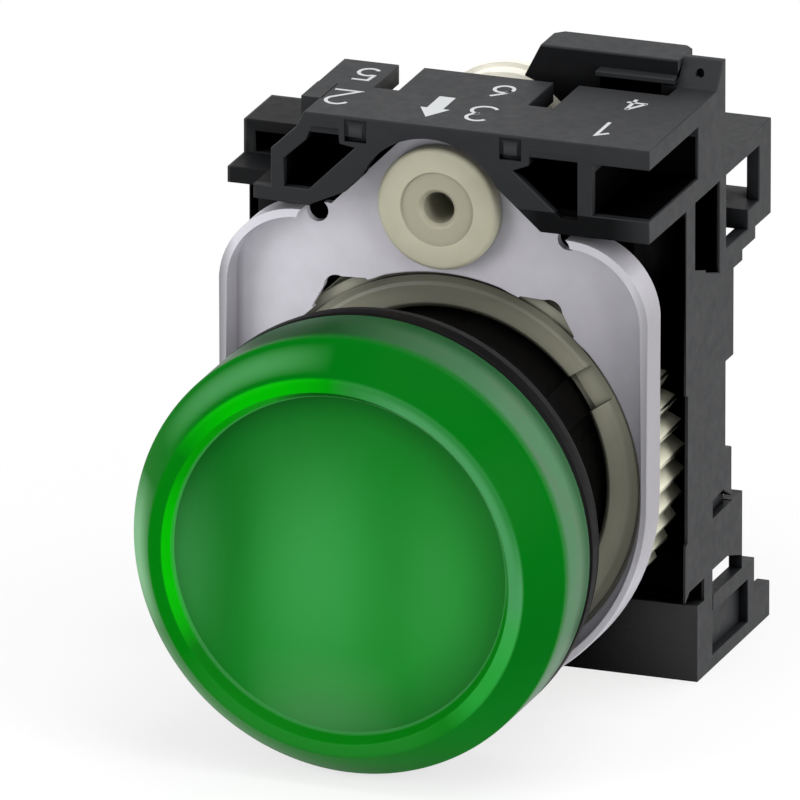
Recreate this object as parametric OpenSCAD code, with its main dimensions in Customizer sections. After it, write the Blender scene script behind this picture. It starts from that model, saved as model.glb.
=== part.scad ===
// Panel pilot light for a 22 mm hole, with its holder and lamp module.
// The origin is on the lens axis, at the front face of the panel.
// X points right seen from the front, Y points to the back and Z points up.

/* [Head] */
// Diameter of the lens and of the collar behind it
head_d = 29.48; // [29:0.02:30]
// Diameter of the front rim of the lens
rim_d = 25.4; // [24.8:0.1:26.2]
// Diameter of the sunk face inside that rim
face_d = 22.9; // [20:0.1:23.4]
// Height of the lens rim above the panel
head_h = 10.1; // [9.4:0.1:14]
// Depth of the sunk face below the rim
face_sink = 1; // [0.6:0.1:1.4]
// Hollow of the sunk face at its middle
face_hollow = 0.25; // [0:0.05:0.4]
// Height of the conical band
cone_h = 2.7; // [2:0.1:3.4]
// Wall of the lens
lens_wall = 1.4; // [1:0.1:1.6]
// Thickness of the diffuser
diffuser_t = 0.9; // [0.6:0.1:1]
// Thickness of the collar edge
collar_t = 1.4; // [1:0.1:1.8]
// Thickness of the front seal
gasket_t = 1; // [0.6:0.1:1.4]
// Thickness of the round seal inside the lens
seal_d = 1.1; // [0.8:0.1:1.2]

/* [Neck] */
// Diameter of the neck that passes through the panel
neck_d = 22.2; // [21.8:0.1:22.3]
// Bore of the neck
neck_bore_d = 18.6; // [16:0.1:18.8]
// Thickest panel that the neck centres
panel_max = 6; // [4:0.5:6]
// Length of the neck behind the front of the panel
neck_len = 19.4; // [19:0.1:19.8]
// Angle of the locating key, from the top towards the right
key_angle = 56; // [40:1:70]
// Width of the locating key
key_w = 2.6; // [2:0.1:3.2]
// Height of the locating key above the neck
key_h = 0.2; // [0.1:0.05:0.2]

/* [Mounting plate] */
// Width of the plate
plate_w = 29.4; // [29:0.1:30]
// Distance from the panel front to the front of the plate rim
plate_y = 8.4; // [8.2:0.1:8.6]
// Height of the rim above the floor of the plate
rim_h = 1.9; // [1.4:0.1:2.2]
// Thickness of the plate floor
sheet_t = 0.6; // [0.4:0.1:0.8]
// Thickness of the plate rim
rim_t = 0.55; // [0.4:0.05:0.8]
// Height of the plate shoulders above the lens axis
shoulder_h = 17.4; // [17:0.1:17.6]
// Corner radius of the plate shoulders
shoulder_r = 5.5; // [4:0.1:6]
// Radius of the tab around the screw
tab_r = 4.9; // [4.4:0.1:5]
// Half width of the tab where it leaves the shoulders
tab_foot = 8.6; // [8:0.1:9]
// Diameter of the relief notches beside the tab
notch_d = 1.5; // [1.2:0.1:1.8]
// Angle from the top to the two lobes of the opening
lobe_angle = 32; // [28:1:36]

/* [Locking ring] */
// Number of teeth
ring_teeth = 52; // [44:1:60]
// Height of a tooth
tooth_h = 0.9; // [0.6:0.1:1]
// Length of the toothed band
band_len = 7.2; // [6.8:0.1:7.3]
// Angle that the ring turns to let go of the neck
lock_turn = 45; // [30:1:50]
// Width of a bayonet lug, as an angle
lug_angle = 20; // [14:1:24]

/* [Clamp screw] */
// Height of the screw above the lens axis
screw_h = 18.2; // [18.1:0.1:18.5]
// Diameter of the threaded shank
shank_d = 6; // [5:0.1:6.2]
// Diameter of the round head
knob_d = 10.4; // [10:0.1:10.6]
// Diameter of the rim around the head
knob_rim_d = 11.1; // [10.8:0.1:11.2]
// Diameter of the foot that presses on the panel
foot_d = 8.26; // [7.6:0.02:8.6]
// Thickness of the foot
foot_t = 1.05; // [0.8:0.05:1.1]
// Way of the screw from loose to tight
screw_way = 4.4; // [3:0.1:4.4]

/* [Holder] */
// Width of the holder
holder_w = 30; // [30:0.1:31]
// Height of the holder below the lens axis
holder_low = 15; // [15:0.1:16]
// Depth of the holder, from the panel front
holder_y = 31.4; // [31:0.1:34]
// Distance from the panel front to the front of the bridge
bridge_y = 7.8; // [7.6:0.1:8]
// Side wall
side_t = 0.9; // [0.8:0.05:1]
// Top slab
slab_t = 1.35; // [1.2:0.05:1.4]
// Front wall of the bridge
front_t = 1.5; // [1.2:0.1:1.7]
// Base wall behind the ring
base_t = 1.6; // [1.2:0.1:1.9]
// Floor
floor_t = 0.95; // [0.8:0.05:1.05]
// Ribs between the bays
rib_t = 0.9; // [0.8:0.05:1]

/* [Lamp module] */
// Width of the module
module_w = 9.6; // [9.2:0.1:9.7]
// Height of the module above the lens axis
module_top = 11; // [10:0.1:11.2]
// Length of the module behind the base wall
module_len = 25; // [24.5:0.1:27]
// Wall of the module housing
module_wall = 1; // [0.8:0.1:1.2]
// Diameter of the lamp
lamp_d = 5; // [4:0.1:5.2]
// Thickness of the circuit board
board_t = 1.2; // [0.8:0.1:1.6]
// Diameter of a terminal screw
terminal_d = 3; // [2.6:0.1:3.2]
// Way of a terminal screw from open to closed
terminal_way = 2; // [1.4:0.1:2.2]

/* [Hidden] */

$fn = 96;
eps = 0.02;            // how far a cut runs past a face
run_fit = 0.08;        // running gap of a round fit
rest_gap = 0.15;       // gap between pieces that stay put
air = 0.25;            // gap beside a turning piece

head_r = head_d / 2;
rim_r = rim_d / 2;
face_r = face_d / 2;
neck_r = neck_d / 2;
neck_back_r = neck_r - 0.2;
key_top = sqrt(pow(neck_r + key_h, 2) - pow(key_w / 2, 2)); // its corners reach key_h above the neck
neck_bore_r = neck_bore_d / 2;
side_x = holder_w / 2;
bay_x = side_x - side_t;

// Places along Y at the head
collar_back = -gasket_t;
collar_front = collar_back - collar_t;
lens_back = collar_front - 0.2;
face_y = -head_h + face_sink;
cone_back = -head_h + cone_h;
diffuser_y = face_y + lens_wall + 0.75;
boss_front = diffuser_y + diffuser_t;
boss_r = head_r - lens_wall - rest_gap;

// Round seal in its groove
seal_y = (boss_front + collar_front) / 2;
seal_r = head_r - lens_wall - 0.04 - seal_d / 2;

// Places along Y at the plate, the ring and the base wall
floor_y = plate_y + rim_h;
plate_back = floor_y + sheet_t;
ring_front = floor_y + 0.3;
band_y = plate_back + 0.2;
band_back = band_y + band_len;
base_y = band_back + 0.3;
base_back = base_y + base_t;
ring_back = base_back - 0.3;

// Radii of the ring
ring_bore_r = neck_back_r + run_fit;
ring_lip_r = neck_r + 1.5;
ring_front_r = neck_r + 2.1;
ring_tip_r = bay_x - air;
ring_root_r = ring_tip_r - tooth_h;
hub_r = neck_r + 0.9;
ring_room_r = ring_tip_r + air;

// Bayonet between the neck and the ring
lug_count = 3;
lug_depth = 0.7;
lug_y = band_y + 3;
lug_t = 1.6;
lug_slack = 0.1;
lug_start = 90;

// Opening of the plate
opening_r = ring_front_r + 0.3;
lobe_r = opening_r + 0.25;

// Clamp screw
foot_y = floor_y - 0.15 - foot_t;
screw_front = foot_y + foot_t + 0.05;
boss_back = floor_y + 4.7;
knob_y = boss_back + screw_way + 0.2;
knob_len = 4.6;
knob_back = knob_y + knob_len;
knob_rim_t = 0.8;
knob_hub_r = screw_h - ring_tip_r - air;
disc_y = band_back + screw_way + 0.2;
foot_pin_r = 1.95;
foot_hole_r = 1.2;
boss_out_r = shank_d / 2 + 1.4;
knob_room_r = knob_d / 2 + rest_gap;
knob_rim_room_r = knob_rim_d / 2 + air;

// Heights of the holder
slab_top = screw_h + knob_room_r + 0.75;
slab_low = slab_top - slab_t;
under_z = shoulder_h + 0.56;
deck_t = 1.54;
deck_z = under_z + deck_t;
low_z = -holder_low;
floor_z = low_z + floor_t;

// Places along X at the bridge, most of them counted from a side of the holder
right_rib = [side_x - 4.9, side_x - 3.9];
slab_left = 6.35 - side_x;
slab_bend = 5.82 - side_x;
flank_x = 3.3;
flank_z = screw_h + 3.5;
tab_room_r = tab_r + 0.3;
deck_x = knob_rim_room_r - 0.3;
post_w = 2.7;
post_x = side_x - post_w;

// Places along Y at the holder
slab_back = base_y + 0.3;
side_front = base_y - 3.65;
lower_front = base_y - 1.25;
post_back = slab_back + 3.6;
window_end = slab_back - 1.7;

// Bays and the lamp module
bay_half = module_w / 2 + rest_gap;
rib_x = bay_half + rib_t;
module_y = base_back + 0.3;
module_back = module_y + module_len;
cover_t = 1.4;
module_low = floor_z + rest_gap;
module_half = module_w / 2;
bar_z = module_top + 0.3;
bar_t = 1.1;
nose_r = lamp_d / 2 + 1.6;
nose_len = 9;
lamp_back = module_y + 2.35;
board_x = -lamp_d / 2 + 0.2;

// Terminals
terminal_y = module_back - 9.2;
bar_thick = 1;
bar_w = 6.6;
saddle_t = 0.9;
saddle_y = terminal_y + bar_thick + terminal_way + 0.3;
head_depth = 2.2;
head_r_small = terminal_d / 2 + 1.1;
terminal_high = module_top - 4.6;
terminal_low = module_low + 4.6;
wire_hole = 3.6;

// A box between two limits on each axis
module block(x, y, z) {
    translate([x[0], y[0], z[0]])
        cube([x[1] - x[0], y[1] - y[0], z[1] - z[0]]);
}

// A front outline in X and Z, drawn out along Y
module along_y(y0, y1) {
    translate([0, y1, 0]) rotate([90, 0, 0]) linear_extrude(y1 - y0) children();
}

// A side outline in Y and Z, drawn out along X
module along_x(x0, x1) {
    translate([x0, 0, 0]) rotate([90, 0, 90]) linear_extrude(x1 - x0) children();
}

// A profile of radius and Y, turned about the lens axis
module turned() {
    rotate([-90, 0, 0]) rotate_extrude() children();
}

// A round bar along Y
module bar_y(r, y0, y1, x = 0, z = 0) {
    translate([x, y0, z]) rotate([-90, 0, 0]) cylinder(r = r, h = y1 - y0);
}

// Points of an arc
function arc(c, r, a0, a1, n) =
    [for (i = [0:n]) c + r * [cos(a0 + (a1 - a0) * i / n), sin(a0 + (a1 - a0) * i / n)]];

// Sector of a ring about the lens axis, angles counted from the right towards the top
module sector(r0, r1, y0, y1, a0, a1) {
    along_y(y0, y1)
        polygon(concat(arc([0, 0], r1, a0, a1, 12), arc([0, 0], r0, a1, a0, 12)));
}

// Lens, a cap with a raised rim round a sunk face
module lens() {
    edge = 0.4;
    face_steps = 8;
    inner_r = head_r - lens_wall;
    color([0.05, 0.62, 0.18, 0.85]) turned() polygon(concat(
        [for (i = [0:face_steps]) let (t = i / face_steps)
            [face_r * t, face_y + face_hollow * (1 - t * t)]],
        arc([face_r + edge, -head_h + edge], edge, 180, 270, 4),
        arc([rim_r - edge, -head_h + edge], edge, 270, 322, 4),
        arc([head_r - edge, cone_back + 0.3], edge, 325, 360, 4),
        [[head_r, lens_back], [inner_r, lens_back], [inner_r, cone_back + 0.5]],
        [[rim_r - 0.6, -head_h + lens_wall], [face_r - 0.3, face_y + lens_wall],
            [0, face_y + face_hollow + lens_wall]]));
}

// Diffuser, a white disc that rests on the front of the collar
module diffuser() {
    skirt = 0.8;
    color([0.93, 0.95, 0.92]) turned() polygon([[0, diffuser_y], [boss_r - skirt, diffuser_y],
        [boss_r - skirt / 2, diffuser_y + skirt / 2], [boss_r - skirt / 2, boss_front],
        [neck_bore_r, boss_front], [neck_bore_r - skirt / 2, boss_front - skirt / 2],
        [0, boss_front - skirt / 2]]);
}

// Round seal between the lens and the collar
module lens_seal() {
    color([0.09, 0.09, 0.1]) turned() translate([seal_r, seal_y]) circle(r = seal_d / 2, $fn = 32);
}

// Collar and neck, one black moulding
module bezel_body() {
    edge = 0.25;
    groove_w = seal_d + 0.3;
    groove_r = seal_r - seal_d / 2 - 0.03;
    turn = 360 / lug_count;
    color([0.1, 0.1, 0.11]) difference() {
        union() {
            turned() polygon([[neck_bore_r, boss_front], [boss_r, boss_front],
                [boss_r, seal_y - groove_w / 2], [groove_r, seal_y - groove_w / 2],
                [groove_r, seal_y + groove_w / 2], [boss_r, seal_y + groove_w / 2],
                [boss_r, collar_front], [head_r - edge, collar_front],
                [head_r, collar_front + edge], [head_r, collar_back - edge],
                [head_r - edge, collar_back], [neck_back_r, collar_back],
                [neck_back_r, 0], [neck_r, 0],
                [neck_r, panel_max], [neck_back_r, panel_max + 0.2],
                [neck_back_r, neck_len - edge], [neck_back_r - edge, neck_len],
                [neck_bore_r, neck_len]]);
            rotate([0, key_angle, 0])
                block([-key_w / 2, key_w / 2], [0, floor_y], [neck_bore_r + 1, key_top]);
        }
        for (i = [0:lug_count - 1]) {
            a = lug_start + i * turn;
            sector(neck_back_r - lug_depth - lug_slack, neck_r + 1, lug_y - lug_slack,
                lug_y + lug_t + lug_slack, a - lug_angle / 2 - 2, a + lug_angle / 2 + lock_turn + 2);
            sector(neck_back_r - lug_depth - lug_slack, neck_r + 1, lug_y, neck_len + eps,
                a - lug_angle / 2 - 2 + lock_turn, a + lug_angle / 2 + lock_turn + 2);
        }
    }
}

// Flat seal between the collar and the panel
module front_gasket() {
    color([0.06, 0.06, 0.07]) turned() polygon([[neck_r + rest_gap, collar_back],
        [head_r - 0.35, collar_back], [head_r - 0.15, collar_back / 2], [head_r - 0.35, 0],
        [neck_r + rest_gap, 0]]);
}

// Outline of the plate without its tab, drawn in by an inset
module plate_outline(inset) {
    half = plate_w / 2;
    circle(r = half - inset);
    translate([-half + inset, 0]) square([plate_w - 2 * inset, shoulder_h - shoulder_r]);
    translate([-half + shoulder_r, 0])
        square([plate_w - 2 * shoulder_r, shoulder_h - inset]);
    for (side = [-1, 1])
        translate([side * (half - shoulder_r), shoulder_h - shoulder_r])
            circle(r = shoulder_r - inset);
}

// Outline of the tab, two straight flanks that touch a circle round the screw
module tab_outline(grow) {
    run = [tab_foot, shoulder_h - 1 - screw_h];
    far = norm(run);
    base_angle = atan2(run[1], run[0]);
    touch = base_angle + acos((tab_r + grow) / far);
    point = (tab_r + grow) * [cos(touch), sin(touch)];
    translate([0, screw_h]) {
        circle(r = tab_r + grow);
        polygon([[-run[0], run[1] - 2], [run[0], run[1] - 2], run, point,
            [-point[0], point[1]], [-run[0], run[1]]]);
    }
}

// Drawn mounting plate, a shallow tray with a flat tab at the top
module mounting_plate() {
    lobe_w = 2.2;
    color([0.78, 0.78, 0.8]) difference() {
        union() {
            difference() {
                along_y(plate_y, plate_back) plate_outline(0);
                along_y(plate_y - eps, floor_y) plate_outline(rim_t);
                block([-tab_foot, tab_foot], [plate_y - eps, floor_y],
                    [shoulder_h - 2 * rim_t, shoulder_h + 1]);
            }
            along_y(floor_y, plate_back) tab_outline(0);
        }
        bar_y(opening_r, plate_y - 1, plate_back + 1);
        for (side = [-1, 1]) {
            along_y(plate_y - 1, plate_back + 1) rotate(90 + side * lobe_angle) {
                translate([lobe_r, 0]) circle(r = 0.9, $fn = 48);
                polygon([[opening_r - 1, -lobe_w], [opening_r - 0.05, -lobe_w],
                    [lobe_r + 0.55, -0.7], [lobe_r + 0.55, 0.7],
                    [opening_r - 0.05, lobe_w], [opening_r - 1, lobe_w]]);
            }
            bar_y(notch_d / 2, plate_y - 1, plate_back + 1, side * tab_foot, shoulder_h - 0.6);
        }
        bar_y(shank_d / 2 + air, plate_y - 1, plate_back + 1, 0, screw_h);
    }
}

// Locking ring with a lip in the plate opening, long teeth and inner lugs
module locking_ring() {
    lip = 0.35;
    pitch = 360 / ring_teeth;
    flange = 0.8;
    core_r = ring_root_r - 0.4;
    color([0.84, 0.83, 0.76]) {
        difference() {
            union() {
                turned() polygon([[0, ring_front], [ring_lip_r, ring_front],
                    [ring_lip_r + 0.2, ring_front + 0.2], [ring_front_r, ring_front + 0.2],
                    [ring_front_r, band_y], [ring_tip_r, band_y],
                    [ring_tip_r, band_y + flange], [core_r, band_y + flange],
                    [core_r, band_back - 0.4], [hub_r, band_back - 0.4],
                    [hub_r, ring_back], [0, ring_back]]);
                along_y(band_y + flange / 2, band_back)
                    polygon([for (i = [0:ring_teeth - 1], k = [0:2])
                        let (r = [ring_root_r, ring_tip_r - 0.05, ring_tip_r - 0.05][k],
                            a = (i + [0, 0.42, 0.58][k]) * pitch)
                        r * [cos(a), sin(a)]]);
            }
            turned() polygon([[0, ring_front - 1], [ring_bore_r + lip + 1, ring_front - 1],
                [ring_bore_r, ring_front + lip], [ring_bore_r, ring_back + 1],
                [0, ring_back + 1]]);
            rotate([0, key_angle, 0])
                block([-key_w / 2, key_w / 2], [ring_front - 1, ring_front + 2 * lip],
                    [ring_bore_r - 1, ring_lip_r + 0.3]);
        }
        for (i = [0:lug_count - 1]) {
            a = lug_start + i * 360 / lug_count;
            sector(neck_back_r - lug_depth, ring_bore_r + 0.4, lug_y, lug_y + lug_t,
                a - lug_angle / 2, a + lug_angle / 2);
        }
    }
}

// Foot that presses on the back of the panel, turning free on the end of the screw
module pressure_foot() {
    foot_r = foot_d / 2;
    round = 0.35;
    pin_len = 3.2;
    color([0.86, 0.85, 0.78]) translate([0, 0, screw_h]) turned() polygon([
        [foot_hole_r, foot_y + 0.5], [foot_hole_r + 0.35, foot_y + 0.15],
        [foot_pin_r + 0.55, foot_y + 0.15], [foot_pin_r + 0.7, foot_y],
        [foot_r - round, foot_y], [foot_r, foot_y + round], [foot_r, foot_y + foot_t],
        [foot_pin_r, foot_y + foot_t], [foot_pin_r, foot_y + foot_t + pin_len],
        [foot_hole_r, foot_y + foot_t + pin_len]]);
}

// Clamp screw with a round head that is turned from the back
module clamp_screw() {
    slot_w = 1.3;
    slot_l = 7.4;
    slot_deep = 2.2;
    knob_r = knob_d / 2;
    core_end = screw_front + 3.6;
    color([0.86, 0.85, 0.78]) difference() {
        translate([0, 0, screw_h]) turned() polygon([
            [foot_pin_r + run_fit, screw_front], [shank_d / 2 - 0.3, screw_front],
            [shank_d / 2, screw_front + 0.3], [shank_d / 2, knob_y],
            [knob_hub_r, knob_y], [knob_hub_r, disc_y],
            [knob_r - 0.2, disc_y], [knob_r, disc_y + 0.2],
            [knob_r, knob_back - knob_rim_t], [knob_rim_d / 2, knob_back - knob_rim_t],
            [knob_rim_d / 2, knob_back - 0.2], [knob_rim_d / 2 - 0.2, knob_back],
            [knob_r - 0.5, knob_back], [knob_r - 0.8, knob_back - 0.4], [0, knob_back - 0.4],
            [0, core_end], [foot_pin_r + run_fit, core_end]]);
        for (turn = [45, 135])
            translate([0, 0, screw_h]) rotate([0, turn, 0])
                block([-slot_w / 2, slot_w / 2], [knob_back - slot_deep, knob_back + eps],
                    [-slot_l / 2, slot_l / 2]);
    }
}

// Room for the plate tab under the bridge
module tab_room() {
    peak_z = screw_h + 4;
    bend_x = 5.75;
    polygon([[-tab_foot + 0.1, under_z - 1], [0.4 - tab_foot, under_z + 0.1],
        [-bend_x, under_z + 1.24], [-flank_x, flank_z], [0, peak_z], [flank_x, flank_z],
        [tab_foot + 0.1, under_z - 1]]);
}

// Front outline of the bridge
module bridge_outline() {
    left_foot = 2.9 - side_x;
    left_wall = 4.1 - side_x;
    step_z = under_z + 1.04;
    difference() {
        polygon([[left_foot, under_z + 0.1], [left_foot, step_z], [left_wall, step_z],
            [left_wall, slab_top - 2.74], [slab_bend, slab_top - 1.1], [slab_left, slab_top],
            [side_x, slab_top], [side_x, under_z], [left_foot + 2, under_z]]);
        translate([0, screw_h]) circle(r = tab_room_r);
        tab_room();
    }
}

// Windows in the front of the bridge, drawn from the right side and from the left side
module bridge_windows() {
    low = under_z + 1.1;
    high = slab_top - 0.9;
    rib_away = right_rib - [side_x, side_x];
    translate([side_x, 0]) {
        polygon([[-8.16, high], [rib_away[0], high], [rib_away[0], low], [-6.05, low],
            [-9.34, slab_top - 2.4], [-8.24, slab_top - 1.94]]);
        polygon([[rib_away[1], slab_low], [1, slab_low], [1, deck_z], [rib_away[1], deck_z]]);
    }
    translate([-side_x, 0])
        polygon([[6.92, high], [8.73, high], [8.82, slab_top - 1.94], [9.84, slab_top - 2.1],
            [6.69, low], [5, low], [5, slab_top - 3.33], [6.45, slab_top - 2]]);
}

// Square pocket with a raised middle in the front of the bridge
module bridge_pocket(x) {
    pocket = 1.5;
    middle = 0.9;
    pocket_deep = 0.35;
    z = slab_top - 0.95;
    difference() {
        block([x - pocket / 2, x + pocket / 2], [bridge_y - 1, bridge_y + pocket_deep],
            [z - pocket / 2, z + pocket / 2]);
        block([x - middle / 2, x + middle / 2], [bridge_y - 1, bridge_y + 1],
            [z - middle / 2, z + middle / 2]);
    }
}

// Slab over the bridge, with room for the tab, the screw head and two notches at its back
module bridge_slab() {
    notch_w = 1.7;
    notch_l = 4.9;
    plate_l = 5;
    difference() {
        union() {
            along_y(bridge_y + eps, base_y + eps) polygon([[slab_left, slab_top],
                [side_x, slab_top], [side_x, slab_low], [slab_bend - 0.12, slab_low],
                [slab_bend, slab_top - 1.1]]);
            block([5.1 - side_x, side_x], [slab_back - plate_l, slab_back], [slab_low, slab_top]);
        }
        bar_y(tab_room_r, bridge_y - 1, plate_back, 0, screw_h);
        bar_y(knob_room_r, boss_back, slab_back + 1, 0, screw_h);
        for (x = [-5.25, 5.35])
            block([x - notch_w / 2, x + notch_w / 2], [slab_back - notch_l, slab_back + 1],
                [slab_low - 1, slab_top + 1]);
    }
}

// Right deck, its rib and the wall that closes it
module right_deck() {
    difference() {
        block([deck_x, side_x], [bridge_y + 0.6, post_back - 1.1], [under_z, deck_z]);
        bar_y(knob_rim_room_r, bridge_y - 1, post_back, 0, screw_h);
        along_y(bridge_y, plate_back) tab_room();
    }
    block(right_rib, [bridge_y, window_end + eps], [under_z, slab_top]);
    block([side_x - 8.1, side_x], [window_end, slab_back], [under_z, slab_top]);
}

// Left deck and step, drawn from the left side
module left_deck() {
    back = base_y + eps;
    step_top = slab_top - 3.1;
    difference() {
        translate([-side_x, 0, 0]) difference() {
            union() {
                block([2.9, 8.8], [bridge_y + 0.6, back], [under_z, under_z + 1.04]);
                block([0, 4], [bridge_y + 3, back], [under_z - 0.12, under_z + 0.98]);
                block([0, 5.5], [slab_back - 5.05, slab_back + 0.1], [under_z + 0.6, step_top]);
                block([4.1, 5], [bridge_y + 0.6, slab_back - 3], [under_z + 0.5, slab_top - 2.8]);
                block([5, 6.1], [slab_back - 5, slab_back], [under_z + 0.5, slab_top - 0.8]);
            }
            block([side_t, 3.6], [slab_back - 6, slab_back - 1.4],
                [under_z + 1.1, step_top - 0.8]);
        }
        along_y(bridge_y, plate_back) tab_room();
    }
}

// Bridge over the plate tab, with its decks and the left step
module bridge() {
    difference() {
        along_y(bridge_y, bridge_y + front_t) bridge_outline();
        along_y(bridge_y - 1, bridge_y + front_t + 1) bridge_windows();
        for (x = [-5.1, 5.5])
            bridge_pocket(x);
    }
    bridge_slab();
    right_deck();
    left_deck();
}

// Wall that backs the plate, with its legs and the threaded boss of the screw
module plate_seat() {
    seat_t = 1.5;
    leg = 2;
    seat_x = plate_w / 2 - 1.8;
    seat_z = [shoulder_h - 5, under_z + 0.5];
    neck_x = 8;
    web = 1.2;
    difference() {
        union() {
            block([-seat_x, seat_x], [plate_back, plate_back + seat_t], seat_z);
            block([-neck_x, neck_x], [plate_back, plate_back + seat_t], [under_z, slab_low + eps]);
            for (side = [-1, 1])
                block(side > 0 ? [seat_x - leg, seat_x] : [-seat_x, leg - seat_x],
                    [plate_back, base_y + eps], seat_z);
            bar_y(boss_out_r, plate_back, boss_back, 0, screw_h);
            block([-web / 2, web / 2], [plate_back, boss_back],
                [screw_h + boss_out_r - 0.5, slab_low]);
        }
        bar_y(ring_room_r, plate_back - 1, base_y);
        bar_y(shank_d / 2 + run_fit, plate_back - 1, boss_back + 1, 0, screw_h);
    }
}

// Base wall with the bearing of the ring, and the lower front block
module base_wall() {
    difference() {
        union() {
            block([-side_x, side_x], [base_y, base_back], [low_z, under_z + eps]);
            block([-side_x, side_x], [lower_front, base_back], [low_z, low_z + 5.2]);
        }
        bar_y(ring_room_r, lower_front - 1, base_y);
        bar_y(hub_r + run_fit, base_y - 1, base_back + 1);
        bar_y(knob_rim_room_r, base_y - 1, base_back + 1, 0, screw_h);
        block([-knob_rim_room_r, knob_rim_room_r], [base_y - 1, base_back + 1],
            [screw_h, under_z + 2]);
    }
}

// Side outline shared by the right and the left wall, up to the underside of the deck
module side_outline() {
    slot_top = low_z + 6.75;
    block_top = low_z + 5.24;
    relief = 0.4;
    polygon([[side_front, under_z + eps], [side_front, 5.4], [side_front + relief, 5.2],
        [side_front + relief, -4.8], [side_front, -5], [side_front, low_z + 6.2],
        [side_front + 0.8, slot_top], [holder_y - 8.2, slot_top],
        [holder_y - 5.5, low_z + 5.95], [holder_y - 5.5, low_z + 5.05],
        [side_front + 5.4, low_z + 5.05], [side_front + 5.4, low_z + 4],
        [side_front + 3.55, low_z + 4], [side_front + 3.55, block_top],
        [lower_front, block_top], [lower_front, low_z], [holder_y, low_z],
        [holder_y, low_z + 2.45], [holder_y - 3, low_z + 2.45], [holder_y - 3, low_z + 5],
        [holder_y - 5.45, low_z + 5], [holder_y - 5.45, -4.6], [holder_y - 7.5, -4.6],
        [holder_y - 7.5, -0.9], [holder_y - 8.7, -0.7], [holder_y - 8.7, 5.25],
        [holder_y - 7.2, 5.25], [holder_y - 7.2, 11.15], [post_back, 11.15],
        [post_back, under_z + eps]]);
}

// Window at the top of both side walls
module side_window() {
    front = side_front + 1.75;
    back = post_back - 1.1;
    polygon([[front, 12.6], [back, 12.6], [back, under_z], [front, under_z]]);
}

// Blind pockets low in both side walls
module side_pockets() {
    front = side_front + 3.55;
    back = holder_y - 4.3;
    polygon([[front, floor_z], [back, floor_z], [back, low_z + 3.9], [front, low_z + 3.9]]);
    polygon([[side_front + 4.9, -3.5], [side_front + 5.1, -4.7], [holder_y - 7.5, -4.65],
        [holder_y - 7.5, -4.3], [holder_y - 9.1, -3.4]]);
}

// Side wall, drawn on the right, thinned in front so that the teeth of the ring show past it
module side_wall() {
    skin = 0.3;
    lip = 0.15;
    slant = 2.6;
    difference() {
        along_x(bay_x, side_x) side_outline();
        along_x(bay_x - 1, side_x + 1) side_window();
        along_x(bay_x + skin, side_x + 1) side_pockets();
        translate([0, 0, low_z + 6])
            linear_extrude(under_z - low_z - 7)
                polygon([[side_x - lip, side_front - 1], [side_x - lip, side_front],
                    [bay_x, side_front + slant], [bay_x - 1, side_front + slant],
                    [bay_x - 1, side_front - 1]]);
    }
}

// Right wall with the raised post, the rear cage and the bar that reaches over the screw
module right_side() {
    raise = 1.7;
    cage_top = under_z + 1.24;
    cage_low = 12.8;
    cage_front = holder_y - 4.5;
    sill = 14.25;
    side_wall();
    difference() {
        union() {
            along_x(bay_x, side_x) polygon([[post_back - 1.2, cage_low - 1.65],
                [holder_y - 7.2, 11.15], [holder_y - 5.5, 11.15], [holder_y - 5.5, 11.85],
                [holder_y - 3, 11.85], [holder_y - 3, cage_low - 0.15],
                [holder_y, cage_low - 0.15], [holder_y, cage_top], [post_back - 1.2, cage_top]]);
            along_x(post_x, side_x) polygon([[window_end, slab_low], [window_end, slab_top],
                [slab_back + 1.8, slab_top], [slab_back + 3.1, slab_top + raise],
                [post_back, slab_top + raise], [post_back, slab_low]]);
            along_x(bay_x, side_x) polygon([[window_end, under_z],
                [window_end, slab_top], [post_back, slab_top], [post_back, under_z]]);
        }
        along_x(bay_x - 1, side_x + 1) side_window();
        along_x(bay_x - 1, side_x + 1) polygon([[post_back + 0.2, cage_low + 0.15],
            [cage_front, cage_low + 0.15], [cage_front, sill], [holder_y - 2.3, sill],
            [holder_y - 2.3, under_z], [post_back + 0.2, under_z]]);
    }
    // Roof and sill of the cage
    difference() {
        block([bay_half, side_x], [post_back - 1.2, holder_y], [under_z, cage_top]);
        bar_y(knob_rim_room_r, base_back, knob_back + 1, 0, screw_h);
    }
    block([bay_half, side_x], [cage_front, holder_y], [cage_low + 0.1, sill]);
    block([bay_half, rib_x], [cage_front, holder_y], [bar_z, cage_top]);
    block([bay_half, rib_x], [base_back - eps, cage_front + 0.1], [bar_z, sill]);
    latch_bar(slab_top + raise);
}

// Bar that reaches from the post over the screw head, with a thin tongue in front
module latch_bar(top) {
    front = slab_back + 2.2;
    back = slab_back + 5.35;
    low = slab_low - 0.8;
    left = 2.8;
    lean = 0.5;
    tongue_x = 6.9;
    tongue_z = slab_top + 0.3;
    slot_x = post_x - 1.1;
    difference() {
        union() {
            along_y(front, back) polygon([[left - lean * (top - low), low], [post_x, low],
                [post_x, top], [left, top]]);
            block([tongue_x, post_x], [front - 1, front + 0.1], [tongue_z, tongue_z + 0.4]);
            along_x(slot_x, post_x + 0.1) polygon([[front - 0.4, slab_low],
                [front - 0.4, slab_top], [front + 0.1, slab_top + 0.6], [front + 0.1, slab_low]]);
        }
        block([tongue_x, slot_x], [front - 0.2, front + 1.5], [slab_low - 2, tongue_z]);
        bar_y(knob_rim_room_r, slab_back, slab_back + 6, 0, screw_h);
        for (x = [left, post_x])
            translate([x, back, 0]) rotate([0, 0, 45])
                block([-0.4, 0.4], [-0.4, 0.4], [slab_low - 2, top + 1]);
    }
}

// Left wall
module left_side() {
    mirror([1, 0, 0]) side_wall();
}

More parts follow.
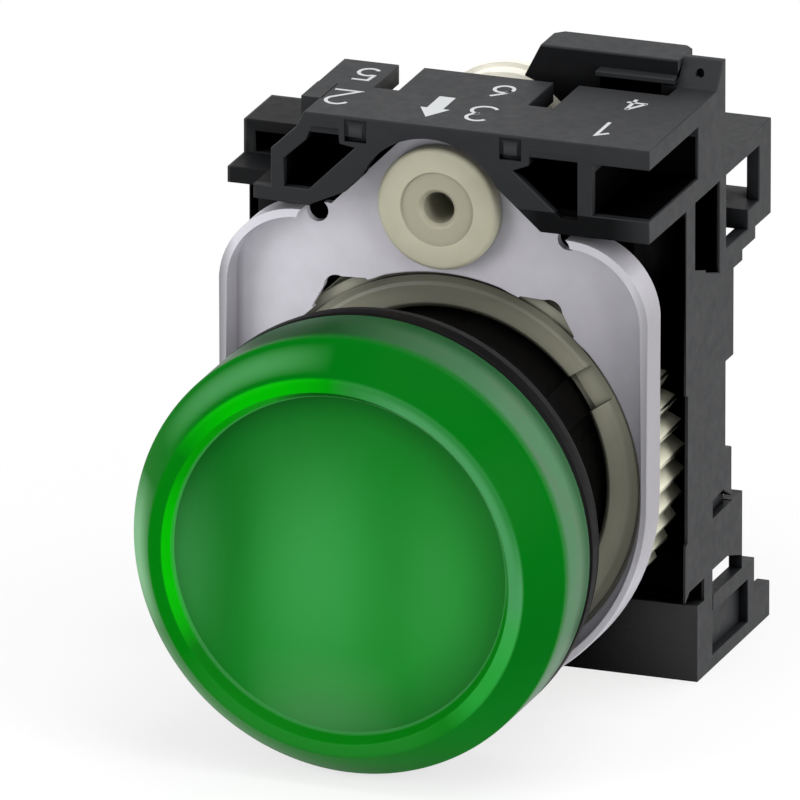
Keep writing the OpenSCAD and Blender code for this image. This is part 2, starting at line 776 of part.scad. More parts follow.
// Floor, ribs between the bays and the bar that the lamp module hooks under
module bays() {
    hook_w = 5;
    bar_l = 3.6;
    low_rear = low_z + 2.45;
    bay_mid = (rib_x + bay_x) / 2;
    difference() {
        block([-side_x, side_x], [lower_front, holder_y], [low_z, floor_z]);
        for (x = [-bay_mid, bay_mid])
            block([x - hook_w / 2, x + hook_w / 2], [holder_y - 6.5, holder_y - 3],
                [low_z - 1, floor_z + 1]);
    }
    for (side = [-1, 1])
        difference() {
            block(side > 0 ? [bay_half, rib_x] : [-rib_x, -bay_half],
                [base_back - eps, holder_y], [floor_z - eps, bar_z + bar_t]);
            along_x(-side_x, side_x) polygon([[holder_y - 7, -8], [holder_y - 2, -8],
                [holder_y - 2, 7.5], [holder_y - 7, 7.5]]);
            along_x(-side_x, side_x) polygon([[holder_y - 2, low_rear + 3],
                [holder_y + 1, low_rear + 3], [holder_y + 1, 20], [holder_y - 2, 9.5]]);
        }
    block([-rib_x, rib_x], [base_back - eps, base_back + bar_l], [bar_z, bar_z + bar_t]);
}

// Moulded holder with three bays for modules
module holder_frame() {
    color([0.14, 0.14, 0.15]) {
        bridge();
        plate_seat();
        base_wall();
        right_side();
        left_side();
        bays();
    }
}

// Housing of the lamp module, open at the back, with a nose that carries the lamp
module module_housing() {
    step_y = holder_y + 0.4;
    hook_y = base_back + 3.6 + rest_gap;
    w = module_wall;
    inner_back = module_back - cover_t;
    seat_t = 1.2;
    seat_x = 2.4;
    hook_h = 0.9;
    grip_pitch = 1.2;
    grip_deep = 0.3;
    grip_half = 4.5;
    wire_y = terminal_y + bar_thick + 0.2;
    color([0.16, 0.16, 0.17]) difference() {
        union() {
            along_x(-module_half, module_half) polygon([[module_y, module_low],
                [inner_back, module_low], [inner_back, module_top - 1.2],
                [inner_back - 1.2, module_top], [module_y + 0.8, module_top],
                [module_y, module_top - 0.8]]);
            along_x(-module_half + 1.5, module_half - 1.5) polygon([[hook_y, module_top - eps],
                [hook_y + 3.4, module_top - eps], [hook_y + 0.8, module_top + hook_h],
                [hook_y, module_top + hook_h]]);
            bar_y(nose_r, module_y - nose_len, module_y + eps);
        }
        block([-module_half + w, module_half - w], [module_y + w, terminal_y - seat_t],
            [module_low + w, module_top - w]);
        for (z = [[module_low + w, -0.5], [0.5, module_top - w]]) {
            block([-seat_x, seat_x], [terminal_y - seat_t - eps, terminal_y + eps], z);
            block([-module_half + w, module_half - w], [terminal_y, inner_back + eps], z);
        }
        bar_y(lamp_d / 2 + rest_gap, module_y - nose_len - 1, module_y + w + 1);
        for (z = [[module_low - 1, module_low + w + 1], [module_top - w - 1, module_top + 1]])
            block([-wire_hole / 2, wire_hole / 2], [wire_y, wire_y + wire_hole], z);
        // Finger grooves on both sides, behind the holder
        for (side = [0, 1], i = [0:4])
            mirror([side, 0, 0]) translate([module_half - grip_deep, step_y + i * grip_pitch, -grip_half])
                cube([1, grip_pitch / 2, 2 * grip_half]);
    }
}

// Rear cover with two wells for the screwdriver
module module_cover() {
    color([0.16, 0.16, 0.17]) difference() {
        union() {
            along_x(-module_half, module_half) polygon([[module_back - cover_t, module_low],
                [module_back, module_low + 0.5], [module_back, module_top - 2.4],
                [module_back - cover_t, module_top - 1.2]]);
            block([-module_half + module_wall + rest_gap, module_half - module_wall - rest_gap],
                [module_back - cover_t - 0.8, module_back - cover_t + eps],
                [terminal_low + 3.3, -0.7]);
        }
        for (z = [terminal_low, terminal_high])
            bar_y(head_r_small + 0.35, module_back - 3, module_back + 1, 0, z);
    }
}

// Circuit board, on edge along the module
module led_board() {
    board_back = terminal_y - 1.4;
    color([0.1, 0.35, 0.18]) difference() {
        block([board_x - board_t, board_x], [lamp_back + 0.2, board_back],
            [module_low + module_wall + 0.2, module_top - module_wall - 0.2]);
        for (z = [-6, 6])
            bar_y(0.6, board_back - 2, board_back + 1, board_x - board_t / 2, z);
    }
}

// Lamp with its round body and dome
module led_lamp() {
    tip = module_y - nose_len - 3;
    lamp_r = lamp_d / 2;
    lead_r = 0.25;
    dome = [for (i = [0:8]) let (a = i * 90 / 8) [lamp_r * sin(a), tip + lamp_r * (1 - cos(a))]];
    color([0.85, 0.95, 0.87]) {
        turned() polygon(concat(dome, [[lamp_r, lamp_back], [0, lamp_back]]));
        for (z = [-1.27, 1.27])
            bar_y(lead_r, lamp_back - 1, lamp_back + 3, board_x + lead_r + 0.05, z);
    }
}

// Rectifier on the board
module rectifier() {
    front = module_y + 6;
    size = [2.6, 5, 6];
    color([0.1, 0.1, 0.1]) translate([board_x, front, -size[2] / 2]) cube(size);
}

// Resistor with its end caps, flat on the board
module resistor(z) {
    r = 1.1;
    front = module_y + 3.6;
    back = front + 6.8;
    color([0.75, 0.62, 0.42]) difference() {
        bar_y(r, front, back, board_x + r - 0.1, z);
        block([board_x - 1, board_x], [front - 1, back + 1], [z - 2 * r, z + 2 * r]);
    }
}

module resistor_1() resistor(-7.6);
module resistor_2() resistor(6.8);

// Bar that the wire is clamped to, with a tongue to the board
module contact_bar(z, inward) {
    half_h = 3;
    tongue_z = z + inward * (half_h - 0.6);
    tongue_t = 0.7;
    tongue_l = 4.5;
    color([0.8, 0.6, 0.3]) difference() {
        union() {
            block([-bar_w / 2, bar_w / 2], [terminal_y, terminal_y + bar_thick],
                [z - half_h, z + half_h]);
            block([board_x, board_x + tongue_t], [terminal_y - tongue_l, terminal_y + eps],
                [tongue_z - 0.6, tongue_z + 0.6]);
        }
        bar_y(terminal_d / 2 + run_fit, terminal_y - 1, terminal_y + 2, 0, z);
    }
}

module contact_bar_1() contact_bar(terminal_high, -1);
module contact_bar_2() contact_bar(terminal_low, 1);

// Saddle that the screw presses on the wire
module wire_clamp(z) {
    half_h = 2.9;
    groove_x = 2.3;
    groove_w = 0.8;
    groove_deep = 0.25;
    color([0.72, 0.73, 0.74]) difference() {
        block([-bar_w / 2, bar_w / 2], [saddle_y, saddle_y + saddle_t], [z - half_h, z + half_h]);
        bar_y(terminal_d / 2 + run_fit, saddle_y - 1, saddle_y + 2, 0, z);
        for (x = [-groove_x, groove_x])
            block([x - groove_w / 2, x + groove_w / 2], [saddle_y - eps, saddle_y + groove_deep],
                [z - half_h - 1, z + half_h + 1]);
    }
}

module wire_clamp_1() wire_clamp(terminal_high);
module wire_clamp_2() wire_clamp(terminal_low);

// Captive terminal screw with a cross slot
module terminal_screw(z) {
    shank_r = terminal_d / 2;
    tip_y = terminal_y - 2.4;
    head_y = saddle_y + saddle_t + 0.03;
    head_back = head_y + head_depth;
    slot_w = 0.7;
    slot_deep = 1.2;
    color([0.75, 0.75, 0.77]) difference() {
        translate([0, 0, z]) turned() polygon([[0, tip_y], [shank_r - 0.4, tip_y],
            [shank_r, tip_y + 0.4], [shank_r, head_y], [head_r_small, head_y],
            [head_r_small, head_back - 0.3], [head_r_small - 0.3, head_back], [0, head_back]]);
        for (turn = [0, 90])
            translate([0, 0, z]) rotate([0, turn, 0])
                block([-slot_w / 2, slot_w / 2], [head_back - slot_deep, head_back + eps],
                    [-head_r_small + 0.6, head_r_small - 0.6]);
    }
}

module terminal_screw_1() terminal_screw(terminal_high);
module terminal_screw_2() terminal_screw(terminal_low);

lens();
diffuser();
lens_seal();
bezel_body();
front_gasket();
mounting_plate();
locking_ring();
pressure_foot();
clamp_screw();
holder_frame();
module_housing();
module_cover();
led_board();
led_lamp();
rectifier();
resistor_1();
resistor_2();
contact_bar_1();
contact_bar_2();
wire_clamp_1();
wire_clamp_2();
terminal_screw_1();
terminal_screw_2();
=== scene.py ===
import math

import bmesh
import bpy
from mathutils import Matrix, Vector


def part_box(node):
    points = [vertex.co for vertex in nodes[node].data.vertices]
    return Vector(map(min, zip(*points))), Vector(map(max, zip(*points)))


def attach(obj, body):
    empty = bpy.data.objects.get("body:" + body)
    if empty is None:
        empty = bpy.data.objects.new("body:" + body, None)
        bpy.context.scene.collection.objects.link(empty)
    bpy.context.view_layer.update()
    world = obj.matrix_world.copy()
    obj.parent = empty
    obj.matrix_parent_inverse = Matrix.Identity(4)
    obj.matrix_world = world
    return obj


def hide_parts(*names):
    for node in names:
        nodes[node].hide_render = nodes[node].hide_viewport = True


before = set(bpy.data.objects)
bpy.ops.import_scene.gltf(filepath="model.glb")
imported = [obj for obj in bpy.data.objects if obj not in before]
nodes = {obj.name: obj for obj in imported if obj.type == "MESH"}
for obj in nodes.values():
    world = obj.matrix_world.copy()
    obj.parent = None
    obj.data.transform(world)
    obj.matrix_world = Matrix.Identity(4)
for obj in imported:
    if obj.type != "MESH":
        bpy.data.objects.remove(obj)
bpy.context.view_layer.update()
MM = 0.001


def corners_of(node):
    """Lowest and highest corner of a CAD node, in millimetres."""
    return [[round(v / MM, 4) for v in corner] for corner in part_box(node)]


# Sizes in millimetres. The head looks along -Y, and the panel's front is at Y = 0.

# Lens: its box, the radii of its rim and face, and how far the face and the cone lie behind its front
(_, FRONT, _), (HEAD_R, LENS_BACK, _) = corners_of("lens")
RIM_R, FACE_R = 12.7, 11.3
FACE_Y, CONE_BACK = FRONT + 1.0, FRONT + 2.7
SLOPE_W = 0.57
LENS_WALL, FACE_HOLLOW = 1.4, 0.25

# Plate and ring: the ring's key notch is counted from +Z towards +X
(_, PLATE_Y, _), (PLATE_X, _, _) = corners_of("mounting_plate")
RING_FRONT = corners_of("locking_ring")[0][1]
NOTCH_AT = math.radians(56)
NOTCH_HALF, NOTCH_NEAR, NOTCH_FAR = 1.28, 11.55, 13.1

# Pressure foot: a disc with a dish and a bore, and a sleeve behind it, on the screw's axis
(_, FOOT_Y, foot_low), (FOOT_R, FOOT_END, foot_high) = corners_of("pressure_foot")
SCREW_Z = (foot_low + foot_high) / 2
FOOT_T, BORE_R, SLEEVE_R, DISH_R, DISH = 1.05, 1.05, 1.95, 2.5, 0.15

# Holder: its lowest point and its half width
(_, _, FLOOR_Z), (SIDE_X, _, _) = corners_of("holder_frame")
# How far the latch stands over the slab, the slab's top, and the latch's front and right end
LATCH_RISE = 1.7
SLAB_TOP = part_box("holder_frame")[1].z / MM - LATCH_RISE
LATCH_FRONT, LATCH_END = 21.1, 12.2
# Front of the base wall, top of the block at the foot, and the shelf inside the bridge
BASE_Y, BLOCK_TOP = 18.6, -9.4
SHELF_LOW, SHELF_TOP = 17.4, 19.4

# Side windows of the holder: Y of their ends and of the bend in the sill, then Z of their edges
WINDOW_FRONT, WINDOW_BEND, WINDOW_BACK = 16.7, 18.7, 21.4
WINDOW_TOP, SILL_Z, LOW_SILL_Z = 17.96, 12.6, 11.75

# Printed numbers and arrow: thickness of the print, how deep it sits, and width of a numeral's line
PRINT_T, PRINT_SUNK, STROKE_W = 0.02, 0.01, 0.25


# Shader nodes

BLACK = (0.0, 0.0, 0.0, 1.0)


def linear(value):
    """A colour of 0 to 255 per channel, as it shows on a screen, in linear light."""
    def one(v):
        v /= 255
        return v / 12.92 if v <= 0.04045 else ((v + 0.055) / 1.055) ** 2.4
    return tuple(one(v) for v in value) + (1.0,)


def scaled(colour, factor):
    """A linear colour, made brighter or darker by a factor."""
    return tuple(min(1.0, c * factor) for c in colour[:3]) + (1.0,)


def add_node(tree, kind, inputs=(), **settings):
    """A shader node. Its inputs go by name or number, and each is a value or another node's socket."""
    made = tree.nodes.new("ShaderNode" + kind)
    for name, setting in settings.items():
        setattr(made, name, setting)
    for key, value in dict(inputs).items():
        if isinstance(value, bpy.types.NodeSocket):
            tree.links.new(value, made.inputs[key])
        else:
            made.inputs[key].default_value = value
    return made


class Shade:
    """A procedural material on a Principled shader, with the object's own coordinates in millimetres."""

    def __init__(self, name):
        self.mat = bpy.data.materials.new(name)
        self.mat.use_nodes = True
        self.tree = self.mat.node_tree
        self.shader = self.tree.nodes["Principled BSDF"]
        metres = self.node("TexCoord").outputs["Object"]
        scale = (1 / MM, 1 / MM, 1 / MM)
        self.mm = self.node("Mapping", {"Vector": metres, "Scale": scale}).outputs["Vector"]

    def node(self, kind, inputs=(), **settings):
        """A node in this material."""
        return add_node(self.tree, kind, inputs, **settings)

    def feed(self, name, socket):
        """Drives one input of the shader."""
        self.tree.links.new(socket, self.shader.inputs[name])

    def put(self, **values):
        """Sets inputs of the shader, with underscores for the spaces in their names."""
        for key, value in values.items():
            self.shader.inputs[key.replace("_", " ")].default_value = value

    def split(self):
        """X, Y and Z in millimetres."""
        parts = self.node("SeparateXYZ", {"Vector": self.mm})
        return parts.outputs["X"], parts.outputs["Y"], parts.outputs["Z"]

    def noise(self, scale, detail=3.0, stretch=None, distortion=0.0):
        """Soft noise from 0 to 1, with that many swells to a millimetre."""
        source = self.mm
        if stretch:
            source = self.node("Mapping", {"Vector": self.mm, "Scale": stretch}).outputs["Vector"]
        made = self.node("TexNoise", {"Vector": source, "Scale": scale, "Detail": detail,
                                      "Roughness": 0.55, "Distortion": distortion})
        return made.outputs["Fac"]

    def flow(self):
        """The wide, faint flow marks of moulded plastic."""
        return self.noise(0.35, 4.0, distortion=0.6)

    def ramp(self, fac, low, high, a, b):
        """The factor from low to high gives colour a to b."""
        made = self.node("ValToRGB", {"Fac": fac})
        for stop, position, colour in zip(made.color_ramp.elements, (low, high), (a, b)):
            stop.position = position
            stop.color = colour
        return made.outputs["Color"]

    def clouds(self, fac, a, b):
        """A colour that drifts between two screen colours."""
        return self.ramp(fac, 0.3, 0.7, linear(a), linear(b))

    def span(self, fac, low, high, a, b):
        """The factor from low to high gives a number from a to b."""
        made = self.node("MapRange", {"Value": fac, "From Min": low, "From Max": high,
                                      "To Min": a, "To Max": b})
        return made.outputs["Result"]

    def mix(self, fac, a, b):
        """Colour a at 0, colour b at 1."""
        return self.node("Mix", {0: fac, 6: a, 7: b}, data_type="RGBA").outputs[2]

    def math(self, kind, a, b=None):
        """One sum on sockets or numbers."""
        inputs = {i: value for i, value in enumerate((a, b)) if value is not None}
        return self.node("Math", inputs, operation=kind).outputs["Value"]

    def times(self, *parts):
        """The product of sockets and numbers."""
        product = parts[0]
        for part in parts[1:]:
            product = self.math("MULTIPLY", product, part)
        return product

    def distance(self, a, b):
        """How far a point is from the origin, from its two coordinates."""
        return self.math("SQRT", self.math("ADD", self.times(a, a), self.times(b, b)))

    def between(self, value, low, high):
        """1 inside the range, 0 outside it."""
        return self.times(self.math("GREATER_THAN", value, low), self.math("LESS_THAN", value, high))

    def hump(self, value, middle, half):
        """1 at the middle, falling to 0 at that half width on either side."""
        away = self.math("DIVIDE", self.math("SUBTRACT", value, middle), half)
        return self.math("MAXIMUM", self.math("SUBTRACT", 1.0, self.times(away, away)), 0.0)

    def openness(self, reach, samples):
        """1 in the open, lower where surfaces stand near, within that reach in millimetres."""
        return self.node("AmbientOcclusion", {"Distance": reach * MM}, samples=samples).outputs["AO"]

    def painted_recess_shade(self, socket, reach, power):
        """The colour with painted shade: darker deep inside corners and openings, where little light
        gets.
        """
        return self.mix(self.math("POWER", self.openness(reach, 8), power), BLACK, socket)

    def painted_hollow_shade(self, socket, reach, low, high):
        """The colour with painted shade: black deep inside openings and untouched in open corners."""
        return self.mix(self.span(self.openness(reach, 12), low, high, 0.0, 1.0), BLACK, socket)

    def bump(self, height, strength, depth):
        """Relief of that depth in millimetres."""
        made = self.node("Bump", {"Strength": strength, "Distance": depth * MM, "Height": height})
        self.feed("Normal", made.outputs["Normal"])

    def plastic(self, smoothest, roughest, grain, specular=0.3):
        """Roughness that wanders between two values, and a fine spark-eroded grain."""
        self.feed("Roughness", self.span(self.noise(1.3), 0.25, 0.75, smoothest, roughest))
        self.put(Specular_IOR_Level=specular)
        self.bump(self.noise(9.0, 2.0), strength=grain, depth=0.02)

    def satin(self, smoothest, roughest, metallic):
        """Metal whose roughness wanders between two values, with a faint relief."""
        self.feed("Roughness", self.span(self.noise(3.0, 4.0), 0.25, 0.75, smoothest, roughest))
        self.put(Metallic=metallic)
        self.bump(self.noise(7.0), strength=0.25, depth=0.01)


# Plain materials

def moulded(name, base, rough=0.42, specular=0.3, grain=0.5, spread=0.12, painted_recess_shade=None, painted_hollow_shade=None):
    """Moulded plastic. The last two arguments, when given, paint shade into corners and openings;
    they are what the shade's methods of the same names take.
    """
    s = Shade(name)
    a = linear(base)
    skin = s.ramp(s.flow(), 0.3, 0.7, scaled(a, 1 - spread), scaled(a, 1 + spread))
    # Painted shade in corners and deep inside openings, when asked for
    if painted_recess_shade:
        skin = s.painted_recess_shade(skin, *painted_recess_shade)
    if painted_hollow_shade:
        skin = s.painted_hollow_shade(skin, *painted_hollow_shade)
    s.feed("Base Color", skin)
    s.plastic(rough - 0.05, rough + 0.06, grain, specular)
    return s


def metal(name, base, rough):
    """Plain metal of screws and contacts."""
    s = Shade(name)
    a = linear(base)
    s.feed("Base Color", s.ramp(s.noise(0.5, 5.0), 0.3, 0.7, scaled(a, 0.93), a))
    s.satin(rough - 0.05, rough + 0.07, metallic=1.0)
    return s


def plate_shade():
    """Satin silver with painted shade: a little brighter at the left, and the outer walls of the tray
    painted darker.
    """
    s = Shade("plate_silver")
    x = s.split()[0]
    wall = PLATE_X - 1.1
    skin = s.clouds(s.noise(0.5, 5.0), (198, 196, 203), (206, 204, 211))
    # Painted shade: darker towards the right, and darker on the outer walls of the tray
    skin = s.mix(s.span(x, -9.0, 12.0, 0.0, 0.3), skin, linear((140, 138, 144)))
    skin = s.mix(s.span(x, wall, PLATE_X, 0.0, 1.0), skin, linear((146, 144, 148)))
    skin = s.mix(s.span(x, -wall, -PLATE_X, 0.0, 1.0), skin, linear((126, 125, 129)))
    s.feed("Base Color", skin)
    s.satin(smoothest=0.45, roughest=0.57, metallic=0.25)
    return s


def foot_shade():
    """Cream plastic, a shade deeper in the dished middle of the foot, with painted shade in its corners.
    """
    s = Shade("cream_plastic")
    x, _, z = s.split()
    radius = s.distance(x, s.math("SUBTRACT", z, SCREW_Z))
    skin = s.clouds(s.flow(), (168, 166, 145), (176, 174, 153))
    skin = s.mix(s.span(radius, DISH_R - 0.2, DISH_R + 0.1, 0.75, 0.0), skin, linear((150, 147, 128)))
    # Painted shade in corners
    s.feed("Base Color", s.painted_recess_shade(skin, reach=1.2, power=0.8))
    s.plastic(smoothest=0.37, roughest=0.48, grain=0.2)
    s.put(Subsurface_Weight=0.15, Subsurface_Scale=0.0008, Subsurface_Radius=(1.0, 0.9, 0.6))
    return s


def ring_shade():
    """The ring's cream plastic, with painted shade on its front, darkest towards the top, and painted
    light on its toothed back.
    """
    s = Shade("ring_cream")
    _, y, z = s.split()
    cloud = s.noise(0.35, 4.0)
    front = s.clouds(cloud, (168, 167, 148), (176, 175, 156))
    # Painted shadow of the head, darker towards the top
    front = s.mix(s.span(z, 6.0, 12.0, 0.0, 0.95), front, linear((88, 87, 76)))
    # Painted light: the toothed back lighter than the shaded front
    lit_teeth = s.clouds(cloud, (222, 221, 199), (228, 227, 206))
    skin = s.mix(s.span(y, RING_FRONT + 0.3, RING_FRONT + 0.8, 0.0, 1.0), front, lit_teeth)
    # Painted shade in corners
    s.feed("Base Color", s.painted_recess_shade(skin, reach=1.2, power=0.8))
    s.plastic(smoothest=0.36, roughest=0.46, grain=0.2)
    return s


def lamp_shade():
    """Clear plastic of the lamp's bulb."""
    s = Shade("lamp_clear")
    s.put(Base_Color=linear((225, 245, 230)), Transmission_Weight=0.9, Roughness=0.08, IOR=1.5)
    s.bump(s.noise(2.0, 2.0), strength=0.1, depth=0.02)
    return s


def resistor_shade():
    """Tan lacquer with four colour bands across the resistors' length."""
    s = Shade("resistor_tan")
    along = s.split()[1]
    front, band_w = corners_of("resistor_1")[0][1], 0.6
    coat = linear((206, 172, 120))
    bands = ((1.2, (150, 70, 30)), (2.4, (20, 20, 20)), (3.6, (190, 40, 30)), (5.2, (200, 160, 60)))
    for start, shade in bands:
        coat = s.mix(s.between(along, front + start, front + start + band_w), coat, linear(shade))
    s.feed("Base Color", coat)
    s.put(Roughness=0.3)
    s.bump(s.noise(3.0), strength=0.1, depth=0.02)
    return s


# Holder's material

def holder_shadow(s, x, y, z):
    """0 on the holder's outside, near 1 where plate and bridge keep the light out."""
    wide = s.math("ABSOLUTE", x)
    inner_x = SIDE_X - 0.2

    # Space between the plate and the base wall, with a little more light in the gap at the left
    inside = s.times(s.math("LESS_THAN", wide, inner_x), s.between(y, PLATE_Y - 0.05, BASE_Y + 0.1),
                     s.between(z, BLOCK_TOP - 0.3, SLAB_TOP - 2.0))
    left_gap = s.span(x, -9.7, -10.3, 0.0, 0.4)
    dark = s.times(inside, s.math("SUBTRACT", 0.95, left_gap))

    windows = s.times(s.between(wide, SIDE_X - 1.5, inner_x),
                      s.between(y, WINDOW_FRONT - 0.7, WINDOW_BACK + 0.05),
                      s.between(z, LOW_SILL_Z - 0.15, WINDOW_TOP + 0.02))

    # Front of the shelf, whose shade fades towards both of its ends
    shelf = s.times(s.math("LESS_THAN", y, PLATE_Y + 0.3), s.between(z, SHELF_LOW, SHELF_TOP),
                    s.span(x, 4.5, 7.5, 0.0, 1.0), s.span(x, 12.4, SIDE_X - 0.05, 0.75, 0.0))

    # Front of the latch, in half shade
    latch = s.times(s.between(x, 0.0, LATCH_END), s.between(y, LATCH_FRONT - 0.1, LATCH_FRONT + 0.1),
                    s.between(z, SLAB_TOP - 2.8, SLAB_TOP + LATCH_RISE - 0.15), 0.6)

    for part in (windows, shelf, latch):
        dark = s.math("MAXIMUM", dark, part)
    return dark


def holder_shade():
    """Black plastic with painted shade, deep black behind the plate and inside the windows of the bridge,
    and painted light low in front.
    """
    s = Shade("holder_black")
    x, y, z = s.split()
    skin = s.clouds(s.flow(), (27, 28, 30), (30, 31, 33))
    # Painted light: the front of the low block made lighter against the shade that falls on it
    painted_light_low_front = s.times(s.math("LESS_THAN", z, BLOCK_TOP), s.math("LESS_THAN", y, BASE_Y - 1.0))
    skin = s.mix(painted_light_low_front, skin, linear((46, 46, 48)))
    lit = s.math("SUBTRACT", 1.0, holder_shadow(s, x, y, z))
    # Painted shade: black deep inside openings and wherever the holder's shadow mask marks shade
    open_air = s.times(s.span(s.openness(reach=11, samples=12), 0.2, 0.46, 0.0, 1.0), lit)
    s.feed("Base Color", s.mix(open_air, BLACK, skin))
    s.plastic(smoothest=0.45, roughest=0.56, grain=0.5)
    s.feed("Specular IOR Level", s.times(open_air, 0.2))
    return s


# Lens's material

class LensShade(Shade):
    """Translucent green, with painted light and shade: a neon edge where light gathers in the rim, a face
    lit from behind by the white disc, painted reflections, and a wall painted greyer where the black
    collar stands behind it."""

    def __init__(self):
        super().__init__("green_lens")
        self.x, self.y, self.z = self.split()
        self.radius = self.distance(self.x, self.z)
        skin = self.mix(self.math("GREATER_THAN", self.radius, FACE_R), self.face(), self.slope())
        slope_end = FACE_R + SLOPE_W
        skin = self.mix(self.outward(slope_end - 0.05, slope_end + 0.03), skin, self.flat())
        skin = self.mix(self.outward(RIM_R + 0.02, RIM_R + 0.16), skin, self.cone())
        skin = self.mix(self.span(self.y, CONE_BACK - 0.05, CONE_BACK + 0.2, 0.0, 1.0), skin, self.wall())
        self.feed("Base Color", skin)
        self.put(Specular_IOR_Level=0.015, Roughness=0.3, Subsurface_Weight=0.15, Subsurface_Scale=0.001,
                 Subsurface_Radius=(0.3, 1.0, 0.4))
        self.bump(self.noise(0.9, 2.0), strength=0.05, depth=0.05)

    def outward(self, near, far, start=0.0):
        """Rises to 1 from one radius to another."""
        return self.span(self.radius, near, far, start, 1.0)

    def around(self, middle, half, soft):
        """1 within half degrees of a direction, counted from +X towards +Z, and 0 past the soft edge."""
        a = math.radians(middle)
        along = self.math("ADD", self.times(self.x, math.cos(a)), self.times(self.z, math.sin(a)))
        return self.span(self.math("DIVIDE", along, self.radius), math.cos(math.radians(half + soft)),
                         math.cos(math.radians(half)), 0.0, 1.0)

    def tint(self, base, amount, part, shade):
        """The base colour with that amount of another one over part of it."""
        return self.mix(self.times(part, amount), base, linear(shade))

    def painted_reflection(self, across, up, width, height):
        """A soft upright spot of painted reflection, by its middle and its half sizes."""
        part = self.times(self.hump(self.x, across, width), self.hump(self.z, up, height))
        return self.times(part, part)

    def face(self):
        """Painted shade at the upper left and in the lower corners, with soft upright patches of painted
        reflection.
        """
        drift = self.math("SUBTRACT", self.noise(0.12, 2.0, stretch=(1.0, 1.0, 0.35)), 0.5)
        # Painted light: lighter towards the right and the bottom, with a soft unevenness
        tilt = self.math("ADD", self.times(self.x, 0.03), self.times(self.z, -0.02))
        lit = self.math("ADD", self.math("ADD", tilt, 0.45), self.times(drift, 0.6))
        face = self.ramp(lit, 0.05, 0.85, linear((12, 92, 24)), linear((20, 120, 32)))
        # Painted reflections: soft upright pale green patches
        face = self.tint(face, 0.45, self.painted_reflection(-1.8, -1.0, 6.4, 13.0), (66, 158, 82))
        face = self.tint(face, 0.22, self.painted_reflection(6.4, -1.0, 5.2, 10.0), (72, 152, 86))
        face = self.tint(face, 0.35, self.painted_reflection(-11.5, -1.0, 5.0, 9.0), (70, 140, 84))
        # Painted reflection: paler low in the middle
        low = self.times(self.span(self.z, -6.0, -10.5, 0.0, 0.5), self.hump(self.x, -1.0, 5.5))
        face = self.tint(face, 1.0, low, (78, 132, 84))
        # Painted shade along the right and top edges of the face
        right_edge_shade = self.times(self.outward(8.0, FACE_R - 0.1), self.around(-20, 50, 60))
        face = self.tint(face, 0.5, right_edge_shade, (30, 80, 38))
        top_edge_shade = self.times(self.outward(9.6, FACE_R - 0.1), self.around(95, 30, 40))
        return self.tint(face, 0.45, top_edge_shade, (12, 70, 22))

    def slope(self):
        """Inner slope of the rim, with painted light and shade: pale at the upper right, neon at the
        left, darker at the top, and a fine painted highlight line at its foot.
        """
        slope = self.mix(self.around(60, 30, 40), linear((6, 106, 14)), linear((60, 122, 72)))
        slope = self.tint(slope, 0.75, self.around(150, 40, 25), (4, 148, 4))
        slope = self.tint(slope, 1.0, self.around(184, 10, 20), (6, 168, 4))
        slope = self.tint(slope, 1.0, self.around(90, 8, 14), (6, 84, 14))
        return self.tint(slope, 0.6, self.hump(self.radius, FACE_R + 0.05, 0.13), (62, 130, 74))

    def flat(self):
        """Flat of the rim, with painted light and shade: neon above the left shoulder, pale on the right,
        brighter low on the right, darker along its outer edge at the upper right.
        """
        flat = self.mix(self.around(117, 8, 24), linear((0, 106, 8)), linear((0, 156, 0)))
        flat = self.tint(flat, 0.85, self.around(30, 38, 24), (66, 132, 82))
        flat = self.tint(flat, 0.7, self.around(-28, 10, 14), (40, 146, 56))
        flat = self.tint(flat, 0.5, self.around(-95, 26, 26), (38, 118, 46))
        edge = self.times(self.outward(RIM_R - 0.45, RIM_R - 0.1), self.around(45, 24, 20))
        return self.tint(flat, 0.7, edge, (14, 98, 28))

    def cone(self):
        """Deep green, with painted light and shade: darker on the right, lighter at the bottom, a soft
        painted reflection above the left shoulder and pale painted reflections along the left edge.
        """
        cone = self.ramp(self.noise(0.1, 2.0), 0.35, 0.65, linear((0, 96, 12)), linear((0, 104, 14)))
        # Painted shade on the right and painted light at the bottom
        cone = self.tint(cone, 0.6, self.around(15, 55, 40), (0, 86, 14))
        cone = self.tint(cone, 0.5, self.around(-85, 30, 35), (0, 112, 22))
        # Painted reflection above the left shoulder
        painted_bloom = self.times(self.around(122, 8, 22), self.hump(self.radius, 13.75, 0.75))
        cone = self.tint(cone, 0.42, painted_bloom, (92, 156, 104))
        # Painted reflections along the left edge and low on the left
        painted_limb = self.times(self.around(184, 6, 16), self.outward(12.9, 14.0, 0.2))
        cone = self.tint(cone, 0.7, painted_limb, (126, 178, 134))
        painted_low_limb = self.times(self.around(232, 20, 28), self.outward(13.4, 14.6))
        return self.tint(cone, 0.3, painted_low_limb, (112, 140, 116))

    def wall(self):
        """A green edge in front and behind, painted greyer between them where the black collar stands
        behind, and painted paler on the right with streaks of painted reflection.
        """
        # Painted light on the right, with streaks of painted reflection there
        wall = self.mix(self.around(10, 35, 55), linear((10, 58, 18)), linear((68, 110, 77)))
        streak = self.span(self.noise(0.45, 2.0, stretch=(0.5, 1.6, 0.5)), 0.4, 0.7, 0.0, 1.0)
        wall = self.tint(wall, 0.5, self.times(streak, self.around(0, 45, 40)), (84, 98, 82))
        behind = self.span(self.y, LENS_BACK - 1.8, LENS_BACK - 0.6, 0.0, 1.0)
        wall = self.tint(wall, 0.8, behind, (16, 68, 30))
        ahead = self.span(self.y, CONE_BACK + 0.4, CONE_BACK + 1.0, 1.0, 0.0)
        return self.tint(wall, 0.85, ahead, (10, 98, 24))


holder_black = holder_shade()
# Painted shade: black deep inside the module's openings
module_black = moulded("module_black", (30, 30, 32), rough=0.42, specular=0.22, painted_hollow_shade=(8, 0.12, 0.42))
